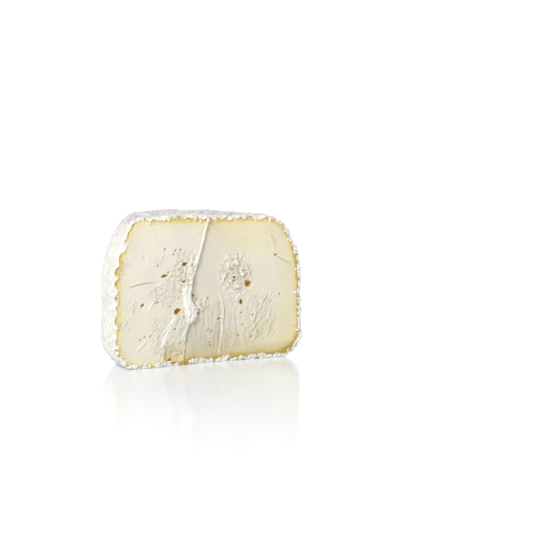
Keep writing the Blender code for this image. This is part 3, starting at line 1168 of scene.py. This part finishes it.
@dataclass
class Paste:
    """The paste: a fine grid laid over the cut face, and a plain body behind it."""

    drum: Drum
    face: CutFace
    columns: int = 348
    rows: int = 244
    edge_inset: float = 0.45
    body_inset: float = 1.3
    body_start: float = 1.6
    body_steps: int = 7
    hollow_reach: int = 3

    def outline_tree(self) -> KDTree:
        """The drum's outline in the cut plane, to measure distances from.

        Returns:
            A search tree of the outline's points.
        """
        profile = self.drum.profile()
        steps = np.linspace(0.0, 1.0, 400)
        ones, zeros = np.ones_like(steps), np.zeros_like(steps)
        across = np.concatenate((-ones, ones, 2 * steps - 1, 2 * steps - 1))
        down = np.concatenate((steps, steps, zeros, ones))
        outline = self.drum.leaned(self.drum.section(profile, across, down, self.drum.cut))
        tree = KDTree(len(outline))
        for index, place in enumerate(outline.tolist()):
            tree.insert(place, index)
        tree.balance()
        return tree

    def build(self, material: bpy.types.Material) -> bpy.types.Object:
        """Makes the paste.

        Args:
            material: Its finish.

        Returns:
            The piece.
        """
        shape = bmesh.new()
        upright = Matrix.Rotation(math.radians(90), 4, "X")
        bmesh.ops.create_grid(
            shape, x_segments=self.columns, y_segments=self.rows, size=1.0, matrix=upright
        )
        grid = positions(shape)
        across, down = grid[:, 0], (1.0 - grid[:, 2]) / 2
        profile = self.drum.profile().inset(self.edge_inset)
        plain = self.drum.section(profile, across, down, self.drum.cut)
        half_width = self.drum.section(profile, np.ones_like(across), down, self.drum.cut)[:, 0]
        plain[:, 0] += (1.0 - np.abs(across)) * self.face.step_x(plain[:, 2])
        across = plain[:, 0] / half_width
        store(shape, "across", across)
        store(shape, "down", down)

        points = self.drum.leaned(plain)
        tree = self.outline_tree()
        from_rind = np.array([tree.find(place)[2] for place in points.tolist()])
        look = self.face.look(points, from_rind)
        points[:, 1] -= look.height
        put(shape.verts, points)
        yellow, gold = self.creamline(points, from_rind, look.notch)
        store(shape, "yellow", yellow)
        store(shape, "gold", gold)
        # This attribute holds painted shade (low on the face, by the step's foot, in the notch) and the
        # darker dish right of the step.
        store(shape, "darkening", look.darkening)
        store(shape, "pale", look.pale)
        store(shape, "eye", look.eye)
        store(shape, "rough", look.rough)
        # Painted shade in the small hollows.
        store(shape, "hollow_shade", self.hollows(look.height))
        rim = open_edges(shape.edges)
        self.drum.line(shape, rim, self.body_inset, self.body_start, self.body_steps)
        return finish_piece(shape, "paste", material)

    def hollows(self, height: Field) -> Field:
        """Finds the small hollows of the cut face, which the finish darkens with painted shade.

        Args:
            height: The height at each place of the grid, row by row.

        Returns:
            How deep each place lies below its close surroundings, from 0 to 1.
        """
        table = height.reshape(self.rows + 1, self.columns + 1)
        reach = self.hollow_reach
        padded = np.pad(table, reach, mode="edge")
        window = range(2 * reach + 1)
        around = sum(
            padded[down : down + self.rows + 1, across : across + self.columns + 1]
            for down in window
            for across in window
        )
        return smooth_rise(0.03, 0.15, (around / len(window) ** 2 - table).ravel())

    def creamline(self, points: Points, from_rind: Field, notch: Field) -> tuple[Field, Field]:
        """The colour of the paste towards the rind.

        Args:
            points: (n, 3) places on the cut face, in millimetres.
            from_rind: How far each place lies from the drum's outline.
            notch: 1 in the notch and 0 outside it.

        Returns:
            How yellow the paste is, and how golden it is right under the rind.
        """
        x, z = points[:, 0], points[:, 2]
        right_of_step = smooth_rise(-8.0, -5.0, x)
        width = 1.8 + 3.5 * smooth_rise(4.0, 14.0, x)
        width += 3.5 * smooth_rise(10.0, 3.0, z) * right_of_step
        width += 10.0 * np.exp(-((x - 10.0) ** 2) / 60.0 - (z - 31.0) ** 2 / 30.0)
        width += 9.0 * np.exp(-((x - 15.0) ** 2) / 70.0 - (z - 5.0) ** 2 / 40.0)
        inside = np.maximum(0.0, from_rind + 0.5 * lumps(points, 2.4, 91.0) - 0.8)
        strength = 0.72 + 0.23 * smooth_rise(-10.0, 4.0, x)
        yellow = strength * np.exp(-((inside / width) ** 1.3))
        yellow = np.maximum(yellow, notch * (0.5 + 0.5 * smooth_rise(5.0, 1.5, z)))
        # Low on the right the golden band is wider: partly the creamline, partly painted shade where the
        # face rolls under.
        band = 1.0 + 0.65 * smooth_rise(7.0, 3.5, z) * right_of_step
        depth = from_rind / band + 0.3 * lumps(points, 1.3, 93.0) + 0.25 * lumps(points, 3.5, 95.0)
        gold = np.interp(depth, (0.9, 1.25, 1.6, 2.5), (1.0, 0.55, 0.2, 0.0))
        gold *= 1.0 - 0.3 * smooth_rise(30.0, 33.0, z) - 0.3 * smooth_rise(-12.0, -18.0, x)
        corner = smooth_rise(-8.6, -10.6, x) * smooth_rise(3.4, 1.4, z)
        return yellow, np.maximum(gold, notch * (0.1 + 0.6 * corner))


@dataclass(frozen=True)
class Mould:
    """A patch of blue-grey mould on the rind: its middle, its radius and how dark it is."""

    middle: tuple[float, float, float]
    radius: float
    strength: float


@dataclass
class Rind:
    """The rind: a closed skin over the drum, with a lumpy white rim round the cut face."""

    drum: Drum
    face: CutFace
    subdivisions: int = 8
    crowding: float = 0.12
    rim_spacing: float = 0.12
    rim_rows: int = 12
    rim_width: float = 2.4
    rim_reach: float = 0.85
    wall_steps: int = 5
    wall: float = 2.0
    wall_start: float = 1.8
    follow: float = 4.0
    swell_height: float = 0.45
    fold_height: float = 0.3
    furrow_depth: float = 0.2
    crease_depth: float = 0.12
    scribble_depth: float = 0.25
    grain_height: float = 0.08
    bead_height: float = 0.4
    moulds: tuple[Mould, ...] = (
        Mould((13.0, 20.5, 27.0), 4.2, 0.95), Mould((16.0, 17.5, 19.0), 3.4, 0.4),
        Mould((-6.0, 24.0, 13.0), 5.0, 0.35), Mould((-14.0, 19.5, 24.0), 3.0, 0.3),
        Mould((24.0, 8.0, 9.0), 3.6, 0.35), Mould((7.0, 16.0, 35.4), 4.0, 0.35),
    )
    edge: list[tuple[Vector, Vector]] = field(default_factory=list)

    def build(self, material: bpy.types.Material) -> bpy.types.Object:
        """Makes the rind and keeps its cut edge for the crumbs.

        Args:
            material: Its finish.

        Returns:
            The piece.
        """
        shape = bmesh.new()
        bmesh.ops.create_icosphere(shape, subdivisions=self.subdivisions, radius=1.0)
        put(shape.verts, self.over_drum(positions(shape)))
        bmesh.ops.bisect_plane(
            shape,
            geom=[*shape.verts, *shape.edges, *shape.faces],
            plane_co=(0.0, self.drum.cut, 0.0),
            plane_no=(0.0, -1.0, 0.0),
            clear_outer=True,
        )
        cut = [vertex for vertex in shape.verts if vertex.is_boundary]
        bmesh.ops.remove_doubles(shape, verts=cut, dist=self.rim_spacing)
        shape.normal_update()
        self.wrinkle(shape)
        self.close(shape)
        return finish_piece(shape, "rind", material)

    def over_drum(self, ball: Points) -> Points:
        """Lays the points of a ball over the whole drum, a little sparser on the kept side.

        Args:
            ball: (n, 3) places on a ball of radius 1.

        Returns:
            Their places on the plain drum.
        """
        profile = self.drum.profile()
        polar = np.arccos(np.clip(ball[:, 2], -1.0, 1.0))
        radius, height = profile.at(profile.length * polar / math.pi)
        turn = np.arctan2(ball[:, 1], ball[:, 0])
        turn -= self.crowding * np.cos(turn)
        return np.column_stack((radius * np.cos(turn), radius * np.sin(turn), height))

    def relief(self, points: Points) -> tuple[Field, Field]:
        """The rind's swells, folds and furrows.

        Args:
            points: (n, 3) places on the plain drum, in millimetres.

        Returns:
            How far the rind stands out of the drum, and how deep in a furrow it lies.
        """
        swell = self.swell_height * lumps(points, 9.0)
        flattened = points * np.array((1.0, 1.0, 1.5))
        folds = self.fold_height * (0.5 - 2.0 * np.abs(lumps(flattened, 4.2)))
        warp = lumps(points, 3.0, 31.0)[:, None] * np.array((0.9, 0.7, -0.8))
        furrow = grooves(points + warp, 2.1, 0.22, 17.0)
        fine = grooves(points + 0.5 * warp, 1.1, 0.25, 23.0)
        grain = lumps(points, 0.75, 40.0)
        high = self.crown(points)
        scribble = grooves(points * np.array((1.0, 0.5, 1.0)) + 0.4 * warp, 1.1, 0.17, 29.0)
        height = swell + folds + self.grain_height * grain + 0.06
        height -= self.furrow_depth * furrow + self.crease_depth * fine
        height -= self.scribble_depth * high * scribble
        # On the crown the scribbles count as valleys, which the finish fills with painted shade.
        valley = 0.75 * furrow + 0.4 * fine + high * scribble - 0.2 * grain
        return height, np.clip(valley, 0.0, 1.0)

    def crown(self, points: Points) -> Field:
        """The greyer top of the drum, which reaches further down on its left.

        Args:
            points: (n, 3) places on the plain drum, in millimetres.

        Returns:
            How grey each place is.
        """
        left = smooth_rise(-14.0, -20.0, points[:, 0])
        patchy = 1.2 * lumps(points, 5.0, 35.0)
        amount = smooth_rise(31.0, 35.5, points[:, 2] + 2.0 * left + patchy)
        flecked = lumps(points * np.array((1.0, 0.45, 1.0)), 1.8, 37.0)
        return amount * np.clip(0.85 + 1.2 * flecked, 0.1, 1.3)

    def mould(self, points: Points) -> Field:
        """Blue-grey patches of mould on the back and the right side.

        Args:
            points: (n, 3) places on the plain drum, in millimetres.

        Returns:
            How much mould each place has, from 0 to 1.
        """
        ragged = 0.6 * lumps(points, 2.6, 101.0) + 0.35 * lumps(points, 0.8, 103.0)
        amount = np.zeros(len(points))
        for patch in self.moulds:
            out = np.linalg.norm(points - np.array(patch.middle), axis=1) / patch.radius + ragged
            amount = np.maximum(amount, patch.strength * smooth_rise(1.1, 0.45, out))
        return amount

    def wrinkle(self, shape: bmesh.types.BMesh) -> None:
        """Gives the skin its relief, and lets its open edge follow the torn cut.

        Args:
            shape: The mesh.
        """
        shape.verts.ensure_lookup_table()
        plain = positions(shape)
        normals = np.array([vertex.normal[:] for vertex in shape.verts])
        height, valley = self.relief(plain)
        near = smooth_rise(self.drum.cut + 1.6, self.drum.cut, plain[:, 1])
        height += near * self.bead_height * beads(plain, 1.35, 51.0)
        points = self.drum.leaned(plain + normals * height[:, None])
        points[:, 2] = np.maximum(points[:, 2], 0.0)
        follows = np.flatnonzero(plain[:, 1] < self.drum.cut + self.follow)
        look = self.face.look(points[follows], np.zeros(len(follows)))
        pull = smooth_rise(self.drum.cut + self.follow, self.drum.cut, plain[follows, 1])
        points[follows, 1] -= pull * look.height
        put(shape.verts, points)
        store(shape, "valley", valley)
        behind = smooth_rise(self.drum.cut + 0.7, self.drum.cut + 2.0, plain[:, 1])
        crown = behind * self.crown(plain)
        store(shape, "crown", crown)
        pits = smooth_rise(0.55, 0.8, valley) * smooth_rise(0.25, 0.6, lumps(plain, 1.8, 57.0))
        store(shape, "gold", 0.75 * pits)
        store(shape, "mould", self.mould(plain))
        # Painted light: the rind whitens towards the cut edge.
        store(shape, "painted_rim_light", smooth_rise(self.drum.cut + 1.3, self.drum.cut + 0.2, plain[:, 1]))

        across_layer = shape.verts.layers.float.new("across")
        down_layer = shape.verts.layers.float.new("down")
        profile = self.drum.profile()
        top, foot = profile.side_span(self.drum.cut)
        radius, along_height = profile.at(np.linspace(top, foot, 400))
        half_width = np.sqrt(radius**2 - self.drum.cut**2)
        for vertex, (x, _, z) in zip(shape.verts, plain.tolist()):
            if vertex.is_boundary:
                down = float(np.interp(-z, -along_height, np.linspace(0.0, 1.0, 400)))
                width = float(np.interp(down, np.linspace(0.0, 1.0, 400), half_width))
                vertex[across_layer] = max(-1.0, min(1.0, x / width))
                vertex[down_layer] = down

    def rim_height(self, places: Points, inward: float) -> Field:
        """How far the rim's beads stand out of the paste; below 0 they are hidden in it.

        Args:
            places: Points of the rim, in millimetres.
            inward: How far inwards from the outline they lie.

        Returns:
            One height for each point.
        """
        flat = places * np.array((1.0, 0.0, 1.0))
        corner = smooth_rise(-17.5, -19.5, flat[:, 0]) * smooth_rise(26.5, 28.0, flat[:, 2])
        over = np.interp(flat[:, 2], (26.0, 27.5, 29.2, 31.0, 33.0), (-0.1, -0.3, 0.8, 0.2, -0.45))
        over = over * smooth_rise(-17.5, -19.5, flat[:, 0]) * smooth_rise(25.0, 26.5, flat[:, 2])
        reach = self.rim_reach + over + 0.4 * (1.0 - corner) * lumps(flat, 2.2, 61.0)
        reach += 0.25 * smooth_rise(6.0, 2.0, flat[:, 2])
        bead = beads(flat + 0.25 * lumps(flat, 0.7, 63.0)[:, None], 1.1, 65.0) ** 1.4
        bead += corner * (0.55 - 0.8 * bead)
        body = smooth_rise(reach + 0.25, reach - 0.25, np.full(len(places), inward) + 0.5 * (0.6 - bead))
        height = -0.3 + (0.2 + 0.55 * bead + 0.16 * lumps(flat, 0.4, 69.0)) * body
        edge = max(0.0, 1.0 - inward / 0.45)
        return np.maximum(height, (0.12 + 0.2 * bead) * edge - 0.3 * (1.0 - edge))

    def close(self, shape: bmesh.types.BMesh) -> None:
        """Turns the open edge in as a beaded rim, and runs an inner wall behind the paste.

        Args:
            shape: The mesh.
        """
        start_layer = shape.verts.layers.float_vector.new("start")
        inward_layer = shape.verts.layers.float_vector.new("inward")
        valley_layer = shape.verts.layers.float["valley"]
        gold_layer = shape.verts.layers.float["gold"]
        rim = open_edges(shape.edges)
        for vertex in {vertex for edge in rim for vertex in edge.verts}:
            vertex[start_layer] = vertex.co
            inward = Vector((-vertex.normal.x, 0.0, -vertex.normal.z)).normalized()
            vertex[inward_layer] = inward

        for row in range(1, self.rim_rows + 1):
            verts, rim = extrude_rim(shape, rim)
            reach = self.rim_width * row / self.rim_rows
            starts = np.array([vertex[start_layer][:] for vertex in verts])
            inwards = np.array([vertex[inward_layer][:] for vertex in verts])
            places = starts + inwards * reach
            look = self.face.look(places, np.full(len(places), reach))
            height = self.rim_height(places, reach)
            gaps = smooth_rise(0.15, -0.08, height) * smooth_rise(0.2, 0.5, reach)
            creamy = smooth_rise(-0.1, 0.6, lumps(places, 1.6, 73.0)) * smooth_rise(0.45, 0.1, height)
            low = smooth_rise(5.0, 2.0, places[:, 2])
            tints = np.maximum(0.9 * gaps, (0.5 + 0.3 * low) * creamy)
            for vertex, tint in zip(verts, tints.tolist()):
                vertex[valley_layer] = 0.0
                vertex[gold_layer] = tint
            inner = smooth_rise(0.0, 0.5, np.full(len(places), reach))
            places[:, 1] = starts[:, 1] * (1.0 - inner) + (self.drum.cut - look.height) * inner - height
            put(verts, places)
            if row == self.rim_rows // 3:
                self.edge = [
                    (Vector(place), Vector(inward))
                    for place, inward in zip(places.tolist(), inwards.tolist())
                ]
        self.drum.line(shape, rim, self.wall, self.wall_start, self.wall_steps)


@dataclass
class Crumbs:
    """White crumbs of rind that the wire left along the cut edge."""

    edge: list[tuple[Vector, Vector]]
    count: int = 260
    seed: int = 12

    def build(self, material: bpy.types.Material) -> bpy.types.Object:
        """Makes the crumbs as one mesh.

        Args:
            material: Its finish.

        Returns:
            The piece.
        """
        shape = bmesh.new()
        draw = Random(self.seed)
        tones: list[float] = []
        for _ in range(self.count):
            start, inward = draw.choice(self.edge)
            radius = 0.15 + 0.25 * draw.random() ** 1.6
            place = start + inward * draw.triangular(-0.7, 0.9, 0.2)
            place.y += draw.uniform(-0.05, 0.2)
            place.z = max(place.z, radius * 0.8)
            turn = Matrix.Rotation(draw.uniform(0.0, math.tau), 4, (draw.random(), draw.random(), 1.0))
            squash = Matrix.Diagonal((1.0, draw.uniform(0.6, 0.9), draw.uniform(0.7, 1.3), 1.0))
            bmesh.ops.create_icosphere(
                shape,
                subdivisions=3,
                radius=radius,
                matrix=Matrix.Translation(place) @ turn @ squash,
            )
            tones.append(draw.random())
        points = positions(shape)
        shape.normal_update()
        normals = np.array([vertex.normal[:] for vertex in shape.verts])
        uneven = 0.14 * lumps(points, 0.42, 81.0) + 0.05 * lumps(points, 0.18, 83.0)
        points += normals * uneven[:, None]
        points[:, 2] = np.maximum(points[:, 2], 0.0)
        put(shape.verts, points)
        each = len(shape.verts) // self.count
        tone = np.repeat(np.array(tones), each)
        store(shape, "valley", np.zeros(len(points)))
        store(shape, "crown", np.zeros(len(points)))
        store(shape, "gold", 0.3 * smooth_rise(0.9, 1.0, tone))
        store(shape, "mould", np.zeros(len(points)))
        # Painted light: the crumbs are whitened all over.
        store(shape, "painted_rim_light", np.ones(len(points)))
        return finish_piece(shape, "rind_crumbs", material)


def direction(azimuth: float, elevation: float) -> Vector:
    """The way to a place at an azimuth from the front to the right and an elevation, in degrees."""
    turn, tilt = math.radians(azimuth), math.radians(elevation)
    return Vector((math.sin(turn) * math.cos(tilt), -math.cos(turn) * math.cos(tilt), math.sin(tilt)))


@dataclass(frozen=True)
class Softbox:
    """A square lamp: where it stands in degrees, its side in metres and its power in watts."""

    name: str
    azimuth: float
    elevation: float
    size: float
    power: float


@dataclass(frozen=True)
class Studio:
    """The plain white studio: tabletop, surroundings, softboxes and the camera."""

    target: tuple[float, float, float] = (0.0, 5.5, 18.0)
    azimuth: float = -24.5
    elevation: float = 8.2
    distance: float = 600.0
    image_size: int = 533
    target_pixel: Point2 = (195.4, 285.4)
    pixels_per_mm: float = 4.09
    sensor: float = 36.0
    floor_size: float = 6.0
    floor_gap: float = 0.03
    backdrop: float = 1.7
    backdrop_tilt: float = 22.0
    ambient: float = 0.36
    softboxes: tuple[Softbox, ...] = (
        Softbox("fill_softbox", 42.0, 25.0, 0.5, 0.3),
        Softbox("key_softbox", -54.0, 34.0, 0.13, 1.7),
    )
    softbox_distance: float = 0.5

    def camera(self) -> None:
        """The photograph's viewpoint."""
        back = direction(self.azimuth, self.elevation)
        right = direction(self.azimuth + 90.0, 0.0)
        up = back.cross(right)
        middle = self.image_size / 2
        aside = (middle - self.target_pixel[0]) / self.pixels_per_mm
        above = (self.target_pixel[1] - middle) / self.pixels_per_mm
        data = bpy.data.cameras.new("camera")
        data.sensor_width = self.sensor
        data.lens = self.sensor * self.pixels_per_mm * self.distance / self.image_size
        data.clip_start = 0.01
        data.clip_end = 100.0
        camera = bpy.data.objects.new("camera", data)
        camera.location = (Vector(self.target) + back * self.distance) * MM
        aim = right * aside + up * above - back * self.distance
        camera.rotation_euler = aim.to_track_quat("-Z", "Y").to_euler()
        bpy.context.scene.collection.objects.link(camera)
        bpy.context.scene.camera = camera

    def floor(self) -> None:
        """The tabletop."""
        shape = bmesh.new()
        bmesh.ops.create_grid(shape, x_segments=1, y_segments=1, size=self.floor_size / 2)
        bmesh.ops.translate(shape, vec=(0.0, 0.0, -self.floor_gap * MM), verts=shape.verts)
        mesh = bpy.data.meshes.new("tabletop")
        shape.to_mesh(mesh)
        shape.free()
        mesh.materials.append(FloorFinish().material())
        tabletop = bpy.data.objects.new("tabletop", mesh)
        bpy.context.scene.collection.objects.link(tabletop)

    def surroundings(self) -> None:
        """Pale surroundings with a white backdrop behind the cheese."""
        world = bpy.data.worlds.new("white_surroundings")
        world.use_nodes = True
        tree = world.node_tree
        place = tree.nodes.new("ShaderNodeTexCoord")
        behind = tree.nodes.new("ShaderNodeVectorMath")
        behind.operation = "DOT_PRODUCT"
        behind.inputs[1].default_value = direction(self.azimuth + 180.0, self.backdrop_tilt)
        level = tree.nodes.new("ShaderNodeMapRange")
        level.interpolation_type = "SMOOTHSTEP"
        for name, number in zip(
            ("From Min", "From Max", "To Min", "To Max"), (0.7, 1.0, self.ambient, self.backdrop)
        ):
            level.inputs[name].default_value = number
        tree.links.new(place.outputs["Generated"], behind.inputs[0])
        tree.links.new(behind.outputs["Value"], level.inputs["Value"])
        tree.links.new(level.outputs["Result"], tree.nodes["Background"].inputs["Strength"])
        tree.nodes["Background"].inputs["Color"].default_value = (1.0, 1.0, 1.0, 1.0)
        bpy.context.scene.world = world

    def softbox(self, box: Softbox) -> None:
        """Makes a square lamp that looks at the cheese.

        Args:
            box: The lamp's sizes and place.
        """
        data = bpy.data.lights.new(box.name, "AREA")
        data.size = box.size
        data.energy = box.power
        lamp = bpy.data.objects.new(box.name, data)
        away = direction(box.azimuth, box.elevation)
        lamp.location = Vector(self.target) * MM + away * self.softbox_distance
        lamp.rotation_euler = (-away).to_track_quat("-Z", "Y").to_euler()
        bpy.context.scene.collection.objects.link(lamp)

    def build(self) -> None:
        """Sets up the studio."""
        self.floor()
        self.surroundings()
        for box in self.softboxes:
            self.softbox(box)
        self.camera()
        bpy.context.scene.view_settings.view_transform = "Standard"


def main() -> None:
    """Builds the cheese and its studio."""
    logging.basicConfig(level=logging.INFO, format="%(name)s: %(message)s")
    drum = Drum()
    face = CutFace()
    rind_finish = RindFinish().material()
    paste = Paste(drum, face).build(PasteFinish().material())
    rind = Rind(drum, face)
    skin = rind.build(rind_finish)
    crumbs = Crumbs(rind.edge).build(rind_finish)
    for piece in (paste, skin, crumbs):
        LOG.info("%s: %d faces", piece.name, len(piece.data.polygons))
    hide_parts(SOLID_NODE)
    Studio().build()


if __name__ == "__main__":
    main()
